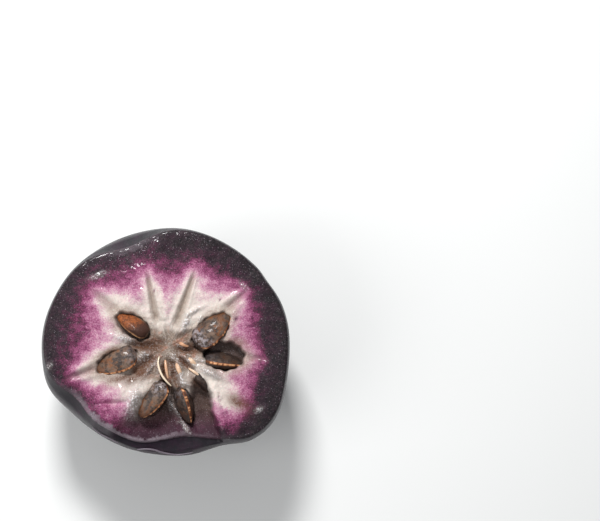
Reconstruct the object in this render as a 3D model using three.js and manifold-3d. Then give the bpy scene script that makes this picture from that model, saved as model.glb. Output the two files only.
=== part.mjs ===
// Half of a star apple, cut across the middle and lying on its round end with the cut face up.
// The fruit itself, skin and flesh together, is one solid. Each seed is a solid of its own, held in a
// pocket of the flesh. Lengths are in millimetres and angles in degrees. +Z is up, and the origin is
// the centre of the small flat spot that the half rests on.

import * as THREE from "three";
import { mergeVertices } from "three/addons/utils/BufferGeometryUtils.js";
import Module from "manifold-3d";

// Driving dimensions of the fruit.
const MEAN_RADIUS = 33.85; // at the widest level
const OVALNESS = 1.45; // how much further the outline reaches along X, and less along Y
const SQUARENESS = 0.4; // how much further it reaches along both than between them
const WIDEST_Z = 29.5;
const CUT_Z = 39;
const LOWER_REACH = 30.3; // from the widest level to where the round end would stop without its flat spot
const ROUND_POWER = 2.1; // 2 is an ellipse, and more is fuller
const EDGE_ROUNDING = 1.2; // radius where the skin meets the cut face
const CORE = new THREE.Vector2(0.7, -2.6); // where the nine chambers meet on the cut face
const SEED_GAP = 0.4; // between a seed and the wall of its pocket

// Where the outline swells out, and where the knife cut inside the widest outline.
const SWELLINGS = [
  { at: 203, by: 1.2, before: 12, after: 11 },
  { at: 284, by: 0.8, before: 12, after: 12 },
  { at: 319, by: 5.3, before: 17.5, after: 22 },
];
const PLAIN_INSET = 1;
const INSETS = [
  { at: 112, by: 3.6, before: 18, after: 18 },
  { at: 222, by: 2.4, before: 16, after: 22 },
  { at: 272, by: 3, before: 28, after: 17 },
];

// Nine clefts run out from the core. Each groove has its direction, its middle and its half length.
const CLEFT_HALF_WIDTH = 1.3;
const CLEFT_DEPTH = 1.3;
const CLEFTS = [
  { toward: 71, middle: 15, halfLength: 7.6 },
  { toward: 108, middle: 16, halfLength: 7 },
  { toward: 145, middle: 21, halfLength: 5 },
  { toward: 197, middle: 24, halfLength: 5.4 },
  { toward: 242, middle: 23, halfLength: 4 },
  { toward: 286, middle: 22, halfLength: 4.4 },
  { toward: 319, middle: 24, halfLength: 3.4 },
  { toward: 353, middle: 24.5, halfLength: 4.6 },
  { toward: 34, middle: 22, halfLength: 4.8 },
];

// The hollow round the core and the place where a piece of flesh tore out, each a shallow bowl.
const CORE_HOLLOW = { at: [CORE.x, CORE.y], half: [18, 17], depth: 2.6 };
const TORN_HOLLOW = { at: [1.8, -22.2], half: [12.4, 10.2], depth: 5.8 };
const BOWL_SIDES = 28;
const BOWL_ROWS = 5;
const BOWL_LID = 3; // how far a bowl's cutter stands above the cut face

// A seed is a flattened drop with its point outward. Its scar is the ridge along its upper edge.
const SEED_HALF = new THREE.Vector3(6.3, 2.7, 4.2); // along it, through it, and from back to scar
const SEED_TAPER = 0.24; // how much slimmer the pointed end is
const SEED_RIDGE = 0.3; // how much thinner the seed is at its scar
const SEED_BLUNTNESS = 0.3; // how much fuller the end towards the core is

// Each seed has its size, its middle, the direction it points, how far it leans to the left, and its dip.
const SEEDS = [
  { name: "seed_upper_left", size: 0.9, at: [-9.7, 4.2, 36.1], toward: 146, lean: 26, dip: 4 },
  { name: "seed_left", size: 0.97, at: [-14.1, -6.6, 37], toward: 204, lean: 56, dip: 3 },
  { name: "seed_lower_left", size: 0.94, at: [-3.9, -17.2, 36], toward: 239, lean: 54, dip: 6 },
  { name: "seed_lower_right", size: 0.86, at: [5.6, -18.9, 34.8], toward: 288, lean: 12, dip: 8 },
  { name: "seed_under_flap", size: 0.95, at: [12, -12.7, 33.9], toward: 319, lean: -10, dip: 13 },
  { name: "seed_right", size: 0.96, at: [16.9, -6.5, 35.6], toward: 353, lean: -16, dip: 3 },
  { name: "seed_upper_right", size: 1.03, at: [13.2, 2.9, 37.4], toward: 43, lean: -56, dip: -2 },
];

const BODY_SIDES = 60;
const LOWER_ROWS = 12;
const UPPER_ROWS = 4;
const EDGE_ROWS = 2;

const FRUIT_MATERIAL = new THREE.MeshStandardMaterial({ color: 0x4a2a40, roughness: 0.35, metalness: 0 });
const SEED_MATERIAL = new THREE.MeshStandardMaterial({ color: 0x7a4a2a, roughness: 0.3, metalness: 0 });

const wasm = await Module();
wasm.setup();

const radians = THREE.MathUtils.degToRad;

/** A smooth hump round the outline, at most `by`, that falls off at its own rate on each side. */
function hump(angle, { at, by, before, after }) {
  const away = THREE.MathUtils.euclideanModulo(angle - at + 180, 360) - 180;
  return by * Math.exp(-((away / (away < 0 ? before : after)) ** 2));
}

/** The widest outline's distance from the axis, in a direction. */
function outline(angle) {
  const oval = OVALNESS * Math.cos(radians(2 * angle)) + SQUARENESS * Math.cos(radians(4 * angle));
  return SWELLINGS.reduce((sum, swelling) => sum + hump(angle, swelling), MEAN_RADIUS + oval);
}

/** How far the skin has drawn in from the widest outline by the time it meets the cut face. */
function inset(angle) {
  return INSETS.reduce((sum, each) => sum + hump(angle, each), PLAIN_INSET);
}

/** The skin's distance from the axis at a height, for a point that is `share` of the way out. */
function skinRadius(angle, z, share) {
  const climbed = Math.max(0, z - WIDEST_Z) / (CUT_Z - WIDEST_Z);
  return share * (outline(angle) - inset(angle) * climbed ** 2.2);
}

/** A closed geometry as a solid that can be cut and joined. */
function solidOf(geometry) {
  const bare = geometry.clone();
  bare.deleteAttribute("normal");
  bare.deleteAttribute("uv");
  const merged = mergeVertices(bare, 1e-3);
  return new wasm.Manifold(
    new wasm.Mesh({
      numProp: 3,
      vertProperties: merged.attributes.position.array,
      triVerts: new Uint32Array(merged.index.array),
    }),
  );
}

/** A solid as a geometry again. */
function geometryOf(solid) {
  const made = solid.getMesh();
  const geometry = new THREE.BufferGeometry();
  geometry.setAttribute("position", new THREE.BufferAttribute(made.vertProperties, 3));
  geometry.setIndex(new THREE.BufferAttribute(made.triVerts, 1));
  geometry.computeVertexNormals();
  return geometry;
}

/** Moves every vertex of a geometry by a function of its place. */
function reshape(geometry, move) {
  const place = geometry.getAttribute("position");
  const point = new THREE.Vector3();
  for (let i = 0; i < place.count; i++) {
    move(point.fromBufferAttribute(place, i));
    place.setXYZ(i, point.x, point.y, point.z);
  }
  return geometry;
}

/** The uncut body: half a fruit with a flat spot below and a flat cut face above. */
function bodyGeometry() {
  const profile = [new THREE.Vector2(0, 0)];
  for (let row = 0; row <= LOWER_ROWS; row++) {
    const z = WIDEST_Z * (1 - Math.cos((Math.PI / 2) * (row / LOWER_ROWS)));
    const below = (WIDEST_Z - z) / LOWER_REACH;
    profile.push(new THREE.Vector2((1 - below ** ROUND_POWER) ** (1 / ROUND_POWER), z));
  }
  const edgeStart = CUT_Z - EDGE_ROUNDING;
  for (let row = 1; row <= UPPER_ROWS; row++) {
    profile.push(new THREE.Vector2(1, WIDEST_Z + (edgeStart - WIDEST_Z) * (row / UPPER_ROWS)));
  }
  for (let row = 1; row <= EDGE_ROWS; row++) {
    const turn = (Math.PI / 2) * (row / EDGE_ROWS);
    const drawnIn = (EDGE_ROUNDING / MEAN_RADIUS) * (1 - Math.cos(turn));
    profile.push(new THREE.Vector2(1 - drawnIn, edgeStart + EDGE_ROUNDING * Math.sin(turn)));
  }
  profile.push(new THREE.Vector2(0, CUT_Z));
  const lathe = new THREE.LatheGeometry(profile, BODY_SIDES).rotateX(Math.PI / 2);
  return reshape(lathe, (point) => {
    const share = Math.hypot(point.x, point.y);
    if (share < 1e-6) return;
    const angle = THREE.MathUtils.radToDeg(Math.atan2(point.y, point.x));
    const radius = skinRadius(angle, point.z, share);
    point.x *= radius / share;
    point.y *= radius / share;
  });
}

/** A shallow bowl sunk in the cut face, deepest in its middle. */
function bowlGeometry({ at, half, depth }) {
  const profile = [];
  for (let row = 0; row <= BOWL_ROWS; row++) {
    const share = row / BOWL_ROWS;
    profile.push(new THREE.Vector2(share, depth * (share ** 2 - 1)));
  }
  profile.push(new THREE.Vector2(1, BOWL_LID), new THREE.Vector2(0, BOWL_LID));
  return new THREE.LatheGeometry(profile, BOWL_SIDES)
    .rotateX(Math.PI / 2)
    .scale(...half, 1)
    .translate(...at, CUT_Z);
}

/** The groove that one cleft leaves in the cut face. */
function cleftGeometry({ toward, middle, halfLength }) {
  const turn = radians(toward);
  return new THREE.SphereGeometry(1, 12, 6)
    .scale(halfLength, CLEFT_HALF_WIDTH, CLEFT_DEPTH)
    .rotateZ(turn)
    .translate(CORE.x + middle * Math.cos(turn), CORE.y + middle * Math.sin(turn), CUT_Z - 0.1);
}

/** A seed about its own middle: X to its point, Y through it and Z to its scar, grown by `gap`. */
function seedGeometry({ size }, gap = 0) {
  const half = SEED_HALF.clone().multiplyScalar(size).addScalar(gap);
  const drop = new THREE.SphereGeometry(1, 14, 12).rotateZ(-Math.PI / 2);
  return reshape(drop, (point) => {
    const slimmer = (1 - SEED_TAPER * point.x) * (1 + SEED_BLUNTNESS * Math.max(0, -point.x) ** 2);
    const thinner = 1 - SEED_RIDGE * Math.max(0, point.z);
    point.x *= half.x;
    point.y *= half.y * slimmer * thinner;
    point.z *= half.z * slimmer;
  });
}

/** Where a seed lies: leant over, dipped, pointed outward and moved to its place. */
function seedPlacement({ at, toward, lean, dip }) {
  const turn = new THREE.Matrix4().makeRotationZ(radians(toward));
  const tip = new THREE.Matrix4().makeRotationY(radians(dip));
  const roll = new THREE.Matrix4().makeRotationX(radians(-lean));
  return new THREE.Matrix4().makeTranslation(...at).multiply(turn).multiply(tip).multiply(roll);
}

/** The fruit: the body less its hollows, clefts and seed pockets. */
function fruitGeometry() {
  const hollows = [CORE_HOLLOW, TORN_HOLLOW].map(bowlGeometry);
  const pockets = SEEDS.map((seed) => seedGeometry(seed, SEED_GAP).applyMatrix4(seedPlacement(seed)));
  const cuts = [...hollows, ...CLEFTS.map(cleftGeometry), ...pockets];
  return geometryOf(cuts.reduce((left, cut) => left.subtract(solidOf(cut)), solidOf(bodyGeometry())));
}

const starAppleHalf = new THREE.Group();

const fruit = new THREE.Mesh(fruitGeometry(), FRUIT_MATERIAL);
fruit.name = "fruit_half";
starAppleHalf.add(fruit);

for (const seed of SEEDS) {
  const mesh = new THREE.Mesh(seedGeometry(seed), SEED_MATERIAL);
  mesh.name = seed.name;
  seedPlacement(seed).decompose(mesh.position, mesh.quaternion, mesh.scale);
  starAppleHalf.add(mesh);
}

export default starAppleHalf;
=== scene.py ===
"""Half of a star apple, cut across, with its seeds, lying on its round end with the cut face up.

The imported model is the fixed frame: +Z is up and the origin is the centre of the flat spot that the half
rests on. Sizes in the classes are in millimetres and angles in degrees, and each mesh is turned to metres
as its points are written.
"""

import logging
import math
from dataclasses import dataclass
from enum import Enum

import bmesh
import bpy
import numpy as np
from mathutils import Matrix, Vector, noise


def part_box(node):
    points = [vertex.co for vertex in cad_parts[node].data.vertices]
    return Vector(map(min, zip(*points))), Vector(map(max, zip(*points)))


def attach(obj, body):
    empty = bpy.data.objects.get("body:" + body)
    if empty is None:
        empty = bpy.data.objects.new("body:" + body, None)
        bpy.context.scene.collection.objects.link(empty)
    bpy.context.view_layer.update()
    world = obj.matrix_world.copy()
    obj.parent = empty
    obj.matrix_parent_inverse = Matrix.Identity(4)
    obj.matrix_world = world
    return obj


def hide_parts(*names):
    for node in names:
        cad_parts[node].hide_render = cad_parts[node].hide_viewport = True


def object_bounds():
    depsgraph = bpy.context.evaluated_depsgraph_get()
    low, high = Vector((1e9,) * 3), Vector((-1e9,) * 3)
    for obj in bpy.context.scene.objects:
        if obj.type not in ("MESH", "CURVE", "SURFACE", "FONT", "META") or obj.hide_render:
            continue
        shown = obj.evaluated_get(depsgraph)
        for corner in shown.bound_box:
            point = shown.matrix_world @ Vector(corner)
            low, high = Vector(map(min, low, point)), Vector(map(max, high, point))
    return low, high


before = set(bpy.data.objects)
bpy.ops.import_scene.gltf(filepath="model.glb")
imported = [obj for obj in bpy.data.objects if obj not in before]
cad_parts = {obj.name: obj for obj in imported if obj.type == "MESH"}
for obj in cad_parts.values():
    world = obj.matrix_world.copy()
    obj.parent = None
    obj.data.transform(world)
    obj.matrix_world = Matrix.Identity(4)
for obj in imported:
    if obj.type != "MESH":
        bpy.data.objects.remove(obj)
cad_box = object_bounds()

log = logging.getLogger("star_apple")

MM = 0.001
Color = tuple[float, float, float, float]
Place = tuple[float, float]
Spot = tuple[float, float, float]
Socket = bpy.types.NodeSocket
Number = Socket | float
Paint = Socket | Color


# ---------------------------------------------------------------------------------------------------------
# Small helpers
# ---------------------------------------------------------------------------------------------------------


def rgb(red: int, green: int, blue: int) -> Color:
    """Turns a screen colour into the linear colour that a shader takes.

    Args:
        red: Red, 0 to 255.
        green: Green, 0 to 255.
        blue: Blue, 0 to 255.

    Returns:
        The linear colour with full alpha.
    """
    parts = [value / 255 for value in (red, green, blue)]
    linear = [part / 12.92 if part <= 0.04045 else ((part + 0.055) / 1.055) ** 2.4 for part in parts]
    return (*linear, 1.0)


def smooth(low: float, high: float, value: np.ndarray) -> np.ndarray:
    """Rises smoothly from 0 at `low` to 1 at `high`.

    Args:
        low: Where the rise starts.
        high: Where it ends. It may be less than `low`, and then the rise is a fall.
        value: The values to grade.

    Returns:
        The grade of each value.
    """
    share = np.clip((value - low) / (high - low), 0.0, 1.0)
    return share * share * (3.0 - 2.0 * share)


def bell(value: np.ndarray, width: float) -> np.ndarray:
    """Gives 1 at nought and falls away smoothly over `width` on both sides."""
    return np.exp(-((value / width) ** 2))


def turn_between(angle: np.ndarray, toward: float) -> np.ndarray:
    """Gives the signed turn from a direction to each angle, within half a turn."""
    return (angle - toward + 180.0) % 360.0 - 180.0


def rough_field(points: np.ndarray, grain: float, octaves: int, seed: float) -> np.ndarray:
    """Samples smooth random relief at many points.

    Args:
        points: Points in millimetres, one a row.
        grain: Size of the largest lumps, in millimetres.
        octaves: How many ever finer layers are added.
        seed: Shifts the pattern, so that each use has its own.

    Returns:
        One value a point, about -1 to 1.
    """
    shift = Vector((seed * 17.3, seed * -9.1, seed * 5.7))
    rows = [noise.fractal(Vector(point) / grain + shift, 1.0, 2.0, octaves) for point in points]
    return np.array(rows)


def flat_field(x: np.ndarray, y: np.ndarray, grain: float, octaves: int, seed: float) -> np.ndarray:
    """Samples smooth random relief over the cut face.

    Args:
        x: Places across the face.
        y: Places up the face.
        grain: Size of the largest lumps, in millimetres.
        octaves: How many ever finer layers are added.
        seed: Shifts the pattern, so that each use has its own.

    Returns:
        One value a place, about -1 to 1.
    """
    return rough_field(np.column_stack([x, y, np.zeros_like(x)]), grain, octaves, seed)


# ---------------------------------------------------------------------------------------------------------
# The outline of the fruit and its cut face
# ---------------------------------------------------------------------------------------------------------


@dataclass(frozen=True)
class Hump:
    """A smooth swelling round the outline.

    Attributes:
        at: Direction of its top.
        by: Height of its top.
        before: Width of its fall on the side of smaller angles.
        after: Width of its fall on the side of larger angles.
    """

    at: float
    by: float
    before: float
    after: float

    def height(self, angle: np.ndarray) -> np.ndarray:
        """Gives the swelling's height in each direction."""
        away = turn_between(angle, self.at)
        return self.by * np.exp(-((away / np.where(away < 0, self.before, self.after)) ** 2))


@dataclass(frozen=True)
class FruitOutline:
    """The fruit seen from above, and how it narrows above and below its widest level.

    Attributes:
        cut_z: Height of the cut face.
        mean_radius: Radius at the widest level.
        ovalness: How much further the outline reaches along X than the mean, and less along Y.
        squareness: How much further it reaches along both than between them.
        widest_z: Height of the widest level.
        lower_reach: How far below the widest level the round end would stop without its flat spot.
        round_power: Fullness of the round end, where 2 is an ellipse.
        inset_power: How late above the widest level the skin turns inward.
        swellings: Where the widest level swells out, or in where a height is less than nought.
        plain_inset: How far the cut face's rim lies inside the widest level.
        insets: Where it lies further inside.
        rim_drops: Where the rim is lower than the cut.
    """

    cut_z: float
    mean_radius: float = 33.85
    ovalness: float = 1.45
    squareness: float = 0.4
    widest_z: float = 29.5
    lower_reach: float = 30.3
    round_power: float = 2.1
    inset_power: float = 2.2
    swellings: tuple[Hump, ...] = (
        Hump(203, 1.2, 12, 11),
        Hump(284, 0.8, 12, 12),
        Hump(319, 5.3, 17.5, 22),
        Hump(162, -0.6, 18, 18),
        Hump(30, -0.4, 8, 5),
        Hump(309, 0.5, 6, 5),
    )
    plain_inset: float = 0.9
    insets: tuple[Hump, ...] = (
        Hump(112, 3.3, 18, 18),
        Hump(213, 3.0, 13, 14),
        Hump(240, 1.3, 14, 14),
        Hump(281, 4.3, 22, 14),
    )
    rim_drops: tuple[Hump, ...] = (
        Hump(112, 0.9, 16, 16),
        Hump(213, 1.0, 12, 14),
        Hump(272, 3.6, 26, 20),
    )

    def widest(self, angle: np.ndarray) -> np.ndarray:
        """Gives the widest outline's distance from the axis.

        Args:
            angle: Directions from the axis.

        Returns:
            The distances.
        """
        turn = np.radians(angle)
        oval = self.ovalness * np.cos(2 * turn) + self.squareness * np.cos(4 * turn)
        return self.mean_radius + oval + sum(hump.height(angle) for hump in self.swellings)

    def rim_z(self, angle: np.ndarray) -> np.ndarray:
        """Gives the height of the cut face's rim in each direction."""
        return self.cut_z - sum(drop.height(angle) for drop in self.rim_drops)

    def skin_radius(self, angle: np.ndarray, z: np.ndarray) -> np.ndarray:
        """Gives the skin's distance from the axis.

        Args:
            angle: Directions from the axis.
            z: Heights, one for each direction.

        Returns:
            The distances.
        """
        below = np.clip((self.widest_z - z) / self.lower_reach, 0, 1)
        lower = (1 - below**self.round_power) ** (1 / self.round_power)
        climbed = np.clip(z - self.widest_z, 0, None) / (self.rim_z(angle) - self.widest_z)
        inset = self.plain_inset + sum(hump.height(angle) for hump in self.insets)
        return self.widest(angle) * lower - inset * climbed**self.inset_power

    def rim_radius(self, angle: np.ndarray) -> np.ndarray:
        """Gives the cut face's own reach in each direction."""
        return self.skin_radius(angle, self.rim_z(angle))


@dataclass(frozen=True)
class SeedPlace:
    """How one seed lies in its chamber.

    Attributes:
        node: The CAD seed that it stands for.
        toward: Direction that its point faces.
        lean: How far it leans to the left of that direction.
        dip: How far its point dips.
        size: Its size beside a usual seed.
        scar_spread: Half the turn round the seed that its scar covers.
        gap: How far its pocket's middle lies from its own.
        pocket: Half the pocket's length and half its width.
        hollow: The pocket's depth.
        jelly_and_glint: How much clear jelly still clings to its inner end, with a painted glint, 0 to 1.
        painted_shade: How much painted shade darkens its coat, for a seed lying in shadow, from 0 to 1.
        bared: Whether the cut laid its pocket open.
    """

    node: str
    toward: float
    lean: float
    dip: float
    size: float
    scar_spread: float
    gap: Place = (0.0, 0.0)
    pocket: Place = (6.3, 3.4)
    hollow: float = 1.8
    jelly_and_glint: float = 0.3
    painted_shade: float = 0.0
    bared: bool = True

    def middle(self) -> Vector:
        """Gives the middle of the CAD seed's box, in millimetres."""
        low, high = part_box(self.node)
        return (low + high) / 2 / MM

    def turned(self) -> Matrix:
        """Gives the turn that lays the seed down."""
        turn = Matrix.Rotation(math.radians(self.toward), 4, "Z")
        dip = Matrix.Rotation(math.radians(self.dip), 4, "Y")
        return turn @ dip @ Matrix.Rotation(math.radians(-self.lean), 4, "X")


@dataclass(frozen=True)
class Cleft:
    """One of the grooves that run out from the core.

    Attributes:
        toward: Its direction from the core.
        start: Where it starts, from the core.
        end: Where it ends.
        depth: How deep it is.
        width: Half its width.
        brown: How far it is stained brown, from 0 to 1.
        aside: How far it lies to the left of the line from the core.
    """

    toward: float
    start: float
    end: float
    depth: float = 1.0
    width: float = 0.75
    brown: float = 0.0
    aside: float = 0.0


@dataclass(frozen=True)
class Mound:
    """A soft rise or hollow of the cut face, longer one way than the other.

    Attributes:
        at: Its middle.
        along: Direction of its long way.
        half: Half its length and half its width.
        rise: Its height, and less than nought for a hollow.
        gel: How far it is clear wet gel, from 0 to 1.
        amount: How brown a stain or a brown painted shadow is, or how purple a flush, where 1 is wholly so.
    """

    at: Place
    along: float
    half: Place
    rise: float
    gel: float = 0.0
    amount: float = 0.0

    def reach(self, x: np.ndarray, y: np.ndarray) -> np.ndarray:
        """Gives the distance from its middle.

        Args:
            x: Places across the face.
            y: Places up the face.

        Returns:
            The distances, where 1 is its edge.
        """
        turn = math.radians(self.along)
        dx, dy = x - self.at[0], y - self.at[1]
        ahead = dx * math.cos(turn) + dy * math.sin(turn)
        aside = dy * math.cos(turn) - dx * math.sin(turn)
        return np.hypot(ahead / self.half[0], aside / self.half[1])

    def share(self, x: np.ndarray, y: np.ndarray) -> np.ndarray:
        """Gives 1 at its middle and falls away past its edge."""
        return np.exp(-1.6 * self.reach(x, y) ** 2)


SEEDS = (
    SeedPlace("seed_upper_left", 146, 26, 4, 0.9, 84, gap=(0.0, -0.5), pocket=(5.5, 3.2), jelly_and_glint=0.0),
    SeedPlace("seed_left", 204, 56, 3, 0.97, 13, gap=(0.1, -0.7), pocket=(6.2, 3.0), jelly_and_glint=0.2, painted_shade=0.08),
    SeedPlace(
        "seed_lower_left", 239, 54, 6, 0.94, 13, gap=(0.7, -0.2), pocket=(5.8, 2.8), jelly_and_glint=0.7, painted_shade=0.2
    ),
    SeedPlace("seed_lower_right", 288, 12, 8, 0.86, 14, gap=(0.8, -0.1), pocket=(5.2, 2.1), painted_shade=0.75),
    SeedPlace("seed_under_flap", 319, -10, 13, 0.95, 3, jelly_and_glint=0.0, painted_shade=1.0, bared=False),
    SeedPlace(
        "seed_right", 353, -16, 3, 0.96, 11, (-0.4, 1.2), (6.0, 4.2), hollow=3.4, jelly_and_glint=0.1, painted_shade=0.85
    ),
    SeedPlace(
        "seed_upper_right", 43, -56, -2, 1.03, 12, (-0.1, -0.2), (6.6, 3.6), jelly_and_glint=0.75, painted_shade=0.2
    ),
)

CLEFTS = (
    Cleft(71.2, 7.0, 22.6, depth=1.0, width=0.74, brown=0.2, aside=0.1),
    Cleft(101.8, 8.0, 22.2, depth=0.9, width=0.66, brown=0.2, aside=1.9),
    Cleft(139.8, 17.5, 27.2, depth=0.8, width=1.0, aside=1.9),
    Cleft(200.8, 20.0, 29.5, depth=0.9, width=0.9, brown=0.1, aside=-1.5),
    Cleft(288, 18.5, 25.5, depth=0.7, width=0.7, brown=0.6),
    Cleft(353, 22, 28, depth=0.6, width=0.7),
    Cleft(41.2, 19.5, 27.0, depth=0.9, width=0.9, brown=0.1, aside=-2.5),
    Cleft(176, 1.5, 12.0, depth=1.5, width=1.1, brown=1.0),
    Cleft(152, 2.5, 8.0, depth=0.7, width=0.8, brown=0.6),
    Cleft(356, 2.0, 13.0, depth=1.7, width=0.9, brown=1.0),
    Cleft(34, 3.0, 9.0, depth=0.6, width=0.9, brown=0.4),
    Cleft(317, 3.0, 10.0, depth=0.9, width=0.7, brown=0.8),
    Cleft(284, 3.5, 13.0, depth=1.3, width=0.8, brown=0.9),
    Cleft(262, 4.0, 12.5, depth=1.5, width=0.8, brown=0.9),
    Cleft(216, 4.0, 14.0, depth=1.0, width=1.4, brown=1.0),
)

FLUSHES = (
    Mound((14.8, -20.0), -70, (3.4, 1.5), 0.0, amount=0.36),
    Mound((17.4, -24.2), -58, (4.2, 2.6), 0.0, amount=0.56),
    Mound((15.9, -22.6), -62, (2.0, 1.2), 0.0, amount=0.42),
    Mound((-16.4, -22.0), -38, (3.0, 2.4), 0.0, amount=0.52),
)

# Brown stains of the flesh. Some are painted shadow instead: beside the seeds and under the flap's edge.
STAINS_AND_SHADOWS = (
    Mound((-15.4, -3.9), 24, (6.0, 1.3), 0.0, amount=0.7),
    Mound((-6.0, -2.2), -20, (4.6, 1.7), 0.0, amount=0.9),
    Mound((-12.0, -11.4), 14, (7.0, 1.7), 0.0, amount=1.0),
    Mound((-15.0, -13.0), 14, (5.0, 1.8), 0.0, amount=0.45),
    Mound((-9.2, -11.8), 12, (4.4, 2.2), 0.0, amount=1.0),
    Mound((-6.8, -10.0), 35, (4.6, 2.6), 0.0, amount=1.15),
    Mound((8.5, -3.1), -3, (5.0, 1.2), 0.0, amount=0.9),
    Mound((-9.6, -22.6), 40, (4.5, 1.8), 0.0, amount=0.55),
    Mound((9.0, -13.8), -60, (5.0, 2.0), 0.0, amount=0.95),
    Mound((11.4, -18.5), -75, (6.5, 1.6), 0.0, amount=0.8),
    Mound((19.6, -1.0), 10, (3.8, 2.2), 0.0, amount=0.45),
    Mound((20.4, -18.4), -35, (4.4, 2.6), 0.0, amount=0.95),
    Mound((15.5, -11.6), -15, (5.0, 1.3), 0.0, amount=0.35),
    Mound((1.0, -12.6), -75, (4.0, 1.4), 0.0, amount=0.8),
)


@dataclass(frozen=True)
class BandStation:
    """How wide the dark and the blushing bands of the flesh are in one direction.

    Attributes:
        toward: The direction from the axis.
        rind: From the widest outline to the end of the dark flesh.
        blush: From there to the start of the white flesh.
    """

    toward: float
    rind: float
    blush: float


BANDS = (
    BandStation(0, 6.4, 8.5),
    BandStation(20, 6.2, 8.0),
    BandStation(35, 5.6, 7.5),
    BandStation(50, 6.6, 7.5),
    BandStation(65, 8.2, 9.0),
    BandStation(90, 9.6, 11.0),
    BandStation(110, 9.6, 10.0),
    BandStation(125, 8.4, 9.0),
    BandStation(140, 6.6, 7.5),
    BandStation(160, 6.4, 9.5),
    BandStation(180, 7.0, 10.5),
    BandStation(195, 6.4, 8.0),
    BandStation(207, 6.0, 5.0),
    BandStation(222, 3.2, 7.0),
    BandStation(240, 2.6, 7.5),
    BandStation(260, 4.5, 7.0),
    BandStation(280, 6.0, 7.0),
    BandStation(296, 3.8, 7.0),
    BandStation(308, 4.6, 8.8),
    BandStation(318, 6.2, 8.4),
    BandStation(330, 7.0, 9.5),
    BandStation(345, 7.2, 9.5),
)


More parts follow.
